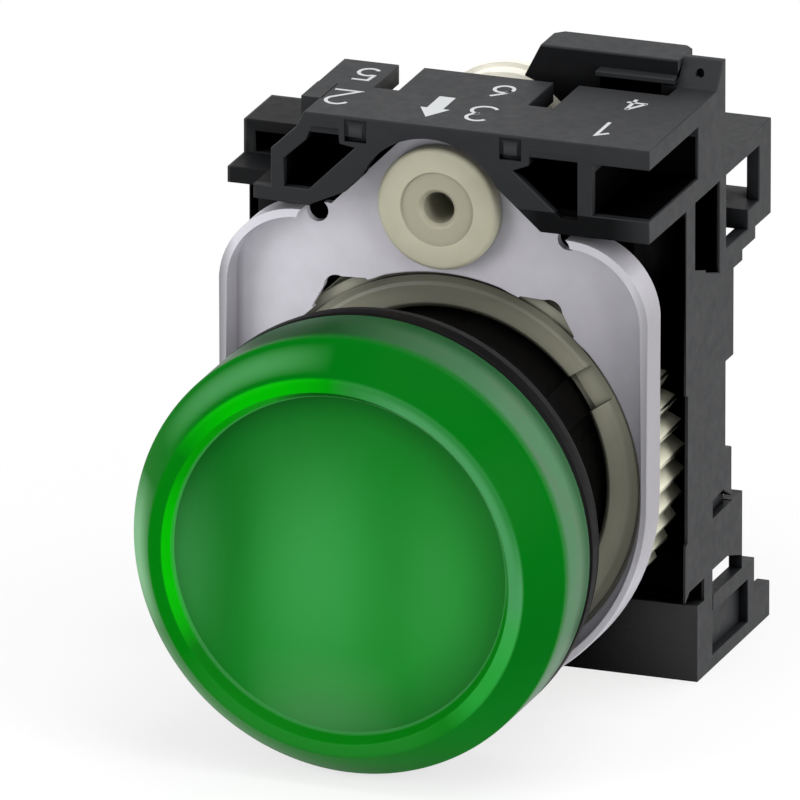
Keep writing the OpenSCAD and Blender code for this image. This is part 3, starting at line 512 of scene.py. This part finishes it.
# Painted shade: darker in the head's corners
head_black = moulded("head_black", (5, 4, 5), rough=0.5, specular=0.06, grain=0.25, painted_recess_shade=(6, 1.5))
cream = foot_shade()
ring_cream = ring_shade()
# Lighter than the foot's cream: partly its own paler colour, partly painted light against the shade over
# the screw
screw_cream_painted_light = moulded("screw_cream_painted_light", (244, 241, 228), rough=0.4, grain=0.2, spread=0.03)
rubber = moulded("black_rubber", (12, 12, 13), rough=0.62, specular=0.2, grain=0.4)
zinc = metal("zinc_steel", (190, 192, 196), rough=0.28)
brass = metal("contact_brass", (214, 178, 106), rough=0.25)
plate_silver = plate_shade()
lens_green = LensShade()
white_diffuser = moulded("white_diffuser", (236, 240, 234), rough=0.35, specular=0.4, grain=0.1,
                         spread=0.02)
white_diffuser.put(Subsurface_Weight=0.3, Subsurface_Scale=0.001)
lamp_clear = lamp_shade()
board_green = moulded("board_green", (24, 96, 52), rough=0.3, specular=0.45, grain=0.2)
chip_black = moulded("chip_black", (26, 26, 27), rough=0.5)
resistor_tan = resistor_shade()
print_white = moulded("print_white", (186, 188, 189), rough=0.5, grain=0.2, spread=0.03)


# Pieces and meshes

def add_piece(name, mesh, shade, body):
    """A new piece, with its material and the body that it rides on."""
    obj = bpy.data.objects.new(name, mesh)
    bpy.context.scene.collection.objects.link(obj)
    obj.data.materials.append(shade.mat)
    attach(obj, body)
    return obj


def dress(node, shade):
    """Gives a CAD node a material."""
    nodes[node].data.materials.clear()
    nodes[node].data.materials.append(shade.mat)


def smooth(mesh, degrees=32):
    """Smooth shading, with edges that bend more than that angle kept sharp."""
    mesh.shade_smooth()
    mesh.set_sharp_from_angle(angle=math.radians(degrees))


def finished(bm, name, turn=True):
    """The edited mesh as a mesh of its own, with its normals turned outward if they aren't yet."""
    if turn:
        bmesh.ops.recalc_face_normals(bm, faces=bm.faces)
    mesh = bpy.data.meshes.new(name)
    bm.to_mesh(mesh)
    bm.free()
    return mesh


def rounded(before, corner, after, steps=5):
    """Points of one corner, rounded to its radius. A corner is X, Y and radius."""
    straight, most_of_side = math.pi - 0.03, 0.48
    p, r = Vector(corner[:2]), corner[2]
    a, b = Vector(before[:2]) - p, Vector(after[:2]) - p
    u, v = a.normalized(), b.normalized()
    angle = u.angle(v) if u.length and v.length else math.pi
    if r <= 0 or angle > straight:
        return [tuple(p)]
    back = min(r / math.tan(angle / 2), most_of_side * min(a.length, b.length))
    r = back * math.tan(angle / 2)
    centre = p + (u + v).normalized() * (r / math.sin(angle / 2))
    start, end = p + u * back - centre, p + v * back - centre
    turn = math.atan2(start.x * end.y - start.y * end.x, start.dot(end))
    points = []
    for k in range(steps + 1):
        c, s = math.cos(turn * k / steps), math.sin(turn * k / steps)
        points.append((centre.x + start.x * c - start.y * s, centre.y + start.x * s + start.y * c))
    return points


def fillet(corners):
    """The closed profile with each corner rounded."""
    points = []
    for i, corner in enumerate(corners):
        points += rounded(corners[i - 1], corner, corners[(i + 1) % len(corners)])
    return points


def turned(name, profile, around=192, z=0.0):
    """A solid turned about a line along Y at that height, from a closed profile of radius and Y."""
    on_axis = 1e-6
    bm = bmesh.new()
    turns = [2 * math.pi * i / around for i in range(around)]
    rings = []
    for r, y in profile:
        if r < on_axis:
            rings.append([bm.verts.new((0, y * MM, z * MM))])
        else:
            rings.append([bm.verts.new((r * math.cos(a) * MM, y * MM, (z + r * math.sin(a)) * MM))
                          for a in turns])
    for ring, following in zip(rings, rings[1:] + rings[:1]):
        if len(ring) == len(following) == 1:
            continue
        for k in range(around):
            j = (k + 1) % around
            if len(ring) == 1:
                bm.faces.new((ring[0], following[k], following[j]))
            elif len(following) == 1:
                bm.faces.new((ring[k], following[0], ring[j]))
            else:
                bm.faces.new((ring[k], following[k], following[j], ring[j]))
    mesh = finished(bm, name)
    smooth(mesh)
    return mesh


def rectangle(left, low, right, high):
    """Outline of a rectangle, from its lowest and highest corner."""
    return [(left, low), (right, low), (right, high), (left, high)]


def prism(outline, near, far, axis="X"):
    """Corners and faces of a prism, its outline in the two other axes, in millimetres."""
    def corner(p, q, depth):
        return tuple(v * MM for v in {"X": (depth, p, q), "Y": (p, depth, q), "Z": (p, q, depth)}[axis])
    n = len(outline)
    corners = [corner(p, q, depth) for depth in (near, far) for p, q in outline]
    faces = [tuple(range(n)), tuple(range(2 * n - 1, n - 1, -1))]
    faces += [(i, i + n, (i + 1) % n + n, (i + 1) % n) for i in range(n)]
    return corners, faces


def both_sides(outline, near, far):
    """The prism on the right of the holder and its mirror image on the left."""
    return [prism(outline, near, far), prism(outline, -far, -near)]


def solid(name, parts):
    """One mesh of several prisms."""
    bm = bmesh.new()
    for corners, faces in parts:
        verts = [bm.verts.new(c) for c in corners]
        for face in faces:
            bm.faces.new([verts[i] for i in face])
    return finished(bm, name)


def carved(mesh, cutter):
    """A copy of the mesh with the cutter's prisms taken out of it."""
    pair = [bpy.data.objects.new(m.name, m) for m in (mesh, cutter)]
    for obj in pair:
        bpy.context.scene.collection.objects.link(obj)
    cut = pair[0].modifiers.new("cut", "BOOLEAN")
    cut.object = pair[1]
    cut.solver = "EXACT"
    out = bpy.data.meshes.new_from_object(pair[0].evaluated_get(bpy.context.evaluated_depsgraph_get()))
    for obj in pair:
        bpy.data.objects.remove(obj)
    bpy.data.meshes.remove(cutter)
    return out


def flat_faced(node, cuts):
    """A CAD node's mesh with its cuts made and its flat faces joined."""
    weld, flat_angle = 1e-6, math.radians(0.6)
    bm = bmesh.new()
    bm.from_mesh(nodes[node].data)
    if cuts:
        bmesh.ops.remove_doubles(bm, verts=bm.verts, dist=weld)
        whole = finished(bm, node + "_whole", turn=False)
        bm = bmesh.new()
        bm.from_mesh(carved(whole, solid(node + "_cuts", cuts)))
    bmesh.ops.remove_doubles(bm, verts=bm.verts, dist=weld)
    bmesh.ops.dissolve_limit(bm, angle_limit=flat_angle, verts=bm.verts, edges=bm.edges)
    return bm


def clear(edge, room):
    """No corner of the faces beside the edge lies so near that a rounding would run into it."""
    a, b = (v.co for v in edge.verts)
    along, length = (b - a).normalized(), (b - a).length
    for corner in {v for face in edge.link_faces for v in face.verts} - set(edge.verts):
        reach = (corner.co - a).dot(along)
        beside = ((corner.co - a) - along * reach).length
        if -room < reach < length + room and beside < room:
            return False
    return True


def bevelled(node, width=0.12, least=0.7, segments=2, cuts=None):
    """A copy of a CAD node with its outer edges rounded, where they are long enough and have room."""
    bm = flat_faced(node, cuts)
    bend, room, weld = math.radians(28), 2.4 * width * MM, 3e-6
    chosen = [e for e in bm.edges
              if len(e.link_faces) == 2 and e.is_convex and e.calc_face_angle(0) > bend
              and e.calc_length() > least * MM and clear(e, room)]
    bmesh.ops.bevel(bm, geom=chosen, offset=width * MM, offset_type="OFFSET", segments=segments,
                    profile=0.5, affect="EDGES", clamp_overlap=False)
    bmesh.ops.remove_doubles(bm, verts=bm.verts, dist=weld)
    bmesh.ops.dissolve_degenerate(bm, edges=bm.edges, dist=weld)
    mesh = finished(bm, node + "_fine", turn=False)
    smooth(mesh, 30)
    return mesh


def fine(node, shade, body, slot, **how):
    """Replaces a CAD node by its copy with rounded edges."""
    obj = add_piece(node + "_fine", bevelled(node, **how), shade, body)
    even = obj.modifiers.new("even", "WEIGHTED_NORMAL")
    even.weight = 100
    even.keep_sharp = True
    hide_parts(node)


# Head

def lens_profile():
    """Section of the lens: the dished face, the rim, the cone, the wall, and back along the inside."""
    steps = 10
    inner_r, inner_y = FACE_R * 0.97, FACE_Y + LENS_WALL
    dish = [(t / steps, FACE_HOLLOW * (1 - (t / steps) ** 2)) for t in range(steps)]
    face = [(FACE_R * share, FACE_Y + sunk, 0) for share, sunk in dish]
    inner_face = [(inner_r * share, inner_y + sunk, 0) for share, sunk in reversed(dish)]
    rim = [(FACE_R, FACE_Y, 0.1), (FACE_R + SLOPE_W, FRONT, 0.15), (RIM_R, FRONT, 0.55)]
    wall = [(HEAD_R, CONE_BACK, 0.6), (HEAD_R, LENS_BACK, 0.15), (HEAD_R - LENS_WALL, LENS_BACK, 0.15),
            (HEAD_R - LENS_WALL, CONE_BACK + 0.5, 0.3), (RIM_R - 0.6, FRONT + LENS_WALL, 0.3)]
    return fillet(face + rim + wall + inner_face)


lens = add_piece("lens_cap", turned("lens_cap", lens_profile()), lens_green, "holder")
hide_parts("lens")
dress("diffuser", white_diffuser)
dress("lens_seal", rubber)
dress("front_gasket", rubber)
fine("bezel_body", head_black, "holder", "head_black", width=0.08)


# Plate, ring and screw

def notch_floor():
    """Floor of the ring's key notch, as shallow as the photograph shows it."""
    across = Vector((math.cos(NOTCH_AT), -math.sin(NOTCH_AT)))
    out = Vector((math.sin(NOTCH_AT), math.cos(NOTCH_AT)))
    outline = [tuple(out * r + across * w)
               for r, w in rectangle(NOTCH_NEAR, -NOTCH_HALF, NOTCH_FAR, NOTCH_HALF)]
    floor_y, floor_t = RING_FRONT + 0.28, 0.4
    return solid("ring_notch", [prism(outline, floor_y, floor_y + floor_t, "Y")])


def foot_profile():
    """Section of the foot: its bore's mouth, the dished front, the disc's edge and the sleeve."""
    mouth_r, mouth_deep = 0.25, 0.3
    dish_y, disc_back = FOOT_Y + DISH, FOOT_Y + FOOT_T
    bore = [(BORE_R, dish_y + mouth_deep, 0.1), (BORE_R + mouth_r, dish_y, mouth_r)]
    front = [(DISH_R - 0.05, dish_y, 0.03), (DISH_R, FOOT_Y, 0.06), (FOOT_R, FOOT_Y, 0.35)]
    back = [(FOOT_R, disc_back, 0.05), (SLEEVE_R, disc_back, 0.05), (SLEEVE_R, FOOT_END, 0.1)]
    return fillet(bore + front + back + [(BORE_R, FOOT_END, 0.05)])


fine("mounting_plate", plate_silver, "holder", "plate_silver", segments=3)
fine("locking_ring", ring_cream, "ring", "cream_plastic", width=0.08, least=0.4)
add_piece("ring_notch", notch_floor(), ring_cream, "ring")
foot_mesh = turned("foot_fine", foot_profile(), around=96, z=SCREW_Z)
foot = add_piece("foot_fine", foot_mesh, cream, "foot")
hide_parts("pressure_foot")
fine("clamp_screw", screw_cream_painted_light, "screw", "cream_plastic", width=0.1)


# Holder and lamp module

def holder_cuts():
    """Room in the base wall inside both side windows, and a small hole in the post by the latch."""
    window = [(WINDOW_FRONT, WINDOW_TOP), (WINDOW_FRONT, SILL_Z), (WINDOW_BEND, SILL_Z),
              (WINDOW_BACK, LOW_SILL_Z), (WINDOW_BACK, WINDOW_TOP)]
    hole_x, hole_z, hole_r, sides = 13.62, 25.15, 0.3, 16
    hole_front, hole_back = 20.4, 21.8
    turns = [2 * math.pi * k / sides for k in range(sides)]
    hole = [(hole_x + hole_r * math.cos(a), hole_z + hole_r * math.sin(a)) for a in turns]
    return both_sides(window, SIDE_X - 0.6, SIDE_X + 0.2) + [prism(hole, hole_front, hole_back, "Y")]


def window_backs():
    """Blind backs at the rear ends of the side windows, which the holder's material paints black as
    shade.
    """
    back = rectangle(WINDOW_BACK - 1.3, LOW_SILL_Z - 0.05, WINDOW_BACK + 0.05, WINDOW_TOP + 0.02)
    return solid("window_backs", both_sides(back, SIDE_X - 1.05, SIDE_X - 0.58))


def window_sills():
    """Sills of the side windows, which slope down from the front."""
    front, end, low = WINDOW_FRONT - 0.05, WINDOW_BEND + 0.05, SILL_Z - 0.05
    sill = [(front, low), (end, low), (end, SILL_Z + 0.15), (front, SILL_Z + 0.8)]
    return solid("window_sills", both_sides(sill, SIDE_X - 1.0, SIDE_X - 0.02))


def slab_ear():
    """Longer left end of the slab over the bridge."""
    left, right, thickness = -9.9, -8.5, 1.6
    front, back = 10.8, 13.95
    ear = rectangle(left, SLAB_TOP - thickness, right, SLAB_TOP)
    return solid("slab_ear", [prism(ear, front, back, "Y")])


fine("holder_frame", holder_black, "holder", "holder_black", width=0.08, least=0.6, cuts=holder_cuts())
add_piece("window_backs", window_backs(), holder_black, "holder")
add_piece("window_sills", window_sills(), holder_black, "holder")
add_piece("slab_ear", slab_ear(), holder_black, "holder")
fine("module_housing", module_black, "holder", "module_black")
fine("module_cover", module_black, "holder", "module_black")
dress("led_board", board_green)
dress("led_lamp", lamp_clear)
dress("rectifier", chip_black)
for number in ("1", "2"):
    dress("resistor_" + number, resistor_tan)
    dress("contact_bar_" + number, brass)
    dress("wire_clamp_" + number, zinc)
    dress("terminal_screw_" + number, zinc)


# Printed numbers and arrow

def bend_arc(cx, cy, rx, ry, start, end, steps=14):
    """Points of part of an ellipse, with its angles in degrees."""
    turns = [math.radians(start + (end - start) * i / steps) for i in range(steps + 1)]
    return [(cx + rx * math.cos(a), cy + ry * math.sin(a)) for a in turns]


# Strokes of each numeral in a box 1 high, with its foot at 0
STROKES = {
    "1": [[(-0.2, 0.78), (0.06, 1.0), (0.06, 0.0)]],
    "2": [bend_arc(0, 0.72, 0.27, 0.28, 160, -35) + [(-0.3, 0.0), (0.32, 0.0)]],
    "3": [bend_arc(-0.02, 0.75, 0.25, 0.25, 150, -80), bend_arc(-0.02, 0.27, 0.29, 0.27, 82, -150)],
    "4": [[(0.13, 0.0), (0.13, 1.0)], [(0.13, 1.0), (-0.3, 0.3)], [(-0.33, 0.3), (0.33, 0.3)]],
    "5": [[(0.27, 1.0), (-0.2, 1.0), (-0.24, 0.56)] + bend_arc(0, 0.31, 0.29, 0.31, 128, -145)],
    "6": [[(0.2, 1.0), (-0.12, 0.68)] + bend_arc(0, 0.3, 0.29, 0.3, 160, 520, 24)],
}

# Numeral, X and Y of its middle, and its height, read from the back of the slab
NUMERALS = (("2", -7.4, 11.4, 2.8), ("5", -7.4, 16.3, 2.3), ("3", 2.2, 11.3, 2.9),
            ("6", 2.0, 16.0, 2.2), ("1", 10.8, 11.1, 2.7), ("4", 11.0, 16.3, 2.1))

# Arrow that points to the head: its middle, and its outline around it
ARROW_X, ARROW_Y = -0.9, 11.6
ARROW = ((0, -2.1), (1.0, -0.3), (0.55, -0.3), (0.55, 2.1), (-0.55, 2.1), (-0.55, -0.3), (-1.0, -0.3))


def ribbon(bm, line, width, place):
    """A flat line of that width through the points, which place() puts on the slab."""
    sharpest = 0.45
    points = [Vector(p) for p in line]
    rows = []
    for i, p in enumerate(points):
        before = (p - points[i - 1]).normalized() if i else (points[1] - p).normalized()
        after = (points[i + 1] - p).normalized() if i + 1 < len(points) else before
        side = Vector((-before.y, before.x))
        n = (side + Vector((-after.y, after.x))).normalized()
        reach = width / 2 / max(sharpest, n.dot(side))
        a, b = p + n * reach, p - n * reach
        rows.append([bm.verts.new(place(q, top)) for q, top in ((a, 0), (b, 0), (b, 1), (a, 1))])
    for r, s in zip(rows, rows[1:]):
        for k in range(4):
            bm.faces.new((r[k], r[(k + 1) % 4], s[(k + 1) % 4], s[k]))
    for end in (rows[0], rows[-1]):
        bm.faces.new(end)


def numeral(text, x, y, height):
    """Numeral centred at X and Y on the slab."""
    def place(q, top):
        up = SLAB_TOP - PRINT_SUNK + top * PRINT_T
        return ((x - q.x) * MM, (y - (q.y - height / 2)) * MM, up * MM)
    bm = bmesh.new()
    for line in STROKES[text]:
        ribbon(bm, [(px * height, py * height) for px, py in line], STROKE_W, place)
    return finished(bm, "numeral_" + text)


def arrow():
    """Arrow on the slab."""
    outline = [(ARROW_X + px, ARROW_Y + py) for px, py in ARROW]
    low = SLAB_TOP - PRINT_SUNK
    return solid("arrow", [prism(outline, low, low + PRINT_T, "Z")])


for text, *place in NUMERALS:
    add_piece("numeral_" + text, numeral(text, *place), print_white, "holder")
add_piece("arrow", arrow(), print_white, "holder")


# Floor and world

def seen_directly(tree):
    """1 for camera, glossy and transmission rays, which see the plain background, and 0 for others."""
    path = add_node(tree, "LightPath").outputs
    seen = path["Is Camera Ray"]
    for kind in ("Is Glossy Ray", "Is Transmission Ray"):
        seen = add_node(tree, "Math", {0: seen, 1: path[kind]}, operation="MAXIMUM").outputs[0]
    return seen


def floor_shade():
    """White to the camera, with the object's shadow on the part that lies near it."""
    mat = bpy.data.materials.new("floor")
    mat.use_nodes = True
    tree = mat.node_tree
    tree.nodes.remove(tree.nodes["Principled BSDF"])
    place = add_node(tree, "TexCoord").outputs["Object"]
    away = add_node(tree, "VectorMath", {0: place}, operation="LENGTH").outputs["Value"]
    plain = add_node(tree, "MapRange", {"Value": away, "From Min": 0.03, "From Max": 0.14,
                                        "To Min": 0.72, "To Max": 1.0}).outputs["Result"]
    share = add_node(tree, "Math", {0: plain, 1: seen_directly(tree)}, operation="MULTIPLY").outputs[0]
    matt = add_node(tree, "BsdfDiffuse", {"Color": (0.86, 0.86, 0.86, 1)}).outputs[0]
    glow = add_node(tree, "Emission", {"Strength": 1.0}).outputs[0]
    blend = add_node(tree, "MixShader", {"Fac": share, 1: matt, 2: glow}).outputs[0]
    tree.links.new(blend, tree.nodes["Material Output"].inputs["Surface"])
    return mat


def studio():
    """Pale even light all round, which the camera sees as white."""
    world = bpy.data.worlds.new("studio")
    world.use_nodes = True
    tree = world.node_tree
    ambient, white = (0.62, 0.62, 0.63, 1), (1, 1, 1, 1)
    colour = add_node(tree, "Mix", {0: seen_directly(tree), 6: ambient, 7: white}, data_type="RGBA")
    tree.nodes["Background"].inputs["Strength"].default_value = 1.0
    tree.links.new(colour.outputs[2], tree.nodes["Background"].inputs["Color"])
    return world


FLOOR_HALF = 1500
floor_mesh = bpy.data.meshes.new("floor")
floor_mesh.from_pydata([(x * MM, y * MM, FLOOR_Z * MM)
                        for x, y in rectangle(-FLOOR_HALF, -FLOOR_HALF, FLOOR_HALF, FLOOR_HALF)],
                       [], [(0, 1, 2, 3)])
floor_mesh.materials.append(floor_shade())
floor = bpy.data.objects.new("floor", floor_mesh)
bpy.context.scene.collection.objects.link(floor)


# Lights and camera, in metres

def look(obj, place, direction):
    """Puts a lamp or the camera in the scene, at its place and looking in the direction."""
    bpy.context.scene.collection.objects.link(obj)
    obj.location = place
    obj.rotation_mode = "QUATERNION"
    obj.rotation_quaternion = direction.to_track_quat("-Z", "Y")


def area(name, place, aim, size, power):
    """A rectangular lamp, by its place, the point that it faces, its two sizes and its watts."""
    data = bpy.data.lights.new(name, "AREA")
    data.shape = "RECTANGLE"
    data.size, data.size_y = size
    data.energy = power
    look(bpy.data.objects.new(name, data), Vector(place), Vector(aim) - Vector(place))


area("key", (0.10, 0.02, 0.36), (0, 0.01, 0), (0.3, 0.3), 0.78)
area("left", (-0.30, -0.30, 0.16), (0, 0.01, 0), (0.25, 0.3), 1.1)
area("right", (0.34, -0.14, 0.13), (0, 0.015, 0), (0.2, 0.25), 0.9)

# The photograph's view: its direction, its scale, and how far its middle is from the origin
AZIMUTH, ELEVATION = math.radians(20), math.radians(19)
PHOTO_W, PIXELS_PER_MM = 800, 15.5
VIEW_RIGHT, VIEW_UP, VIEW_DEPTH = 0.7613 * MM, 7.755 * MM, 8 * MM
LENS_MM, SENSOR_MM = 1550, 36

toward = Vector((math.sin(AZIMUTH) * math.cos(ELEVATION), -math.cos(AZIMUTH) * math.cos(ELEVATION),
                 math.sin(ELEVATION)))
right = Vector((math.cos(AZIMUTH), math.sin(AZIMUTH), 0))
up = toward.cross(right)
target = right * VIEW_RIGHT + up * VIEW_UP + toward * Vector((0, VIEW_DEPTH, 0)).dot(toward)
distance = LENS_MM / SENSOR_MM * PHOTO_W / PIXELS_PER_MM * MM

camera = bpy.data.objects.new("camera", bpy.data.cameras.new("camera"))
look(camera, target + toward * distance, -toward)
camera.data.lens, camera.data.sensor_width = LENS_MM, SENSOR_MM
camera.data.clip_start, camera.data.clip_end = 0.5, 30

scene = bpy.context.scene
scene.world = studio()
scene.view_settings.view_transform = "Standard"
scene.camera = camera
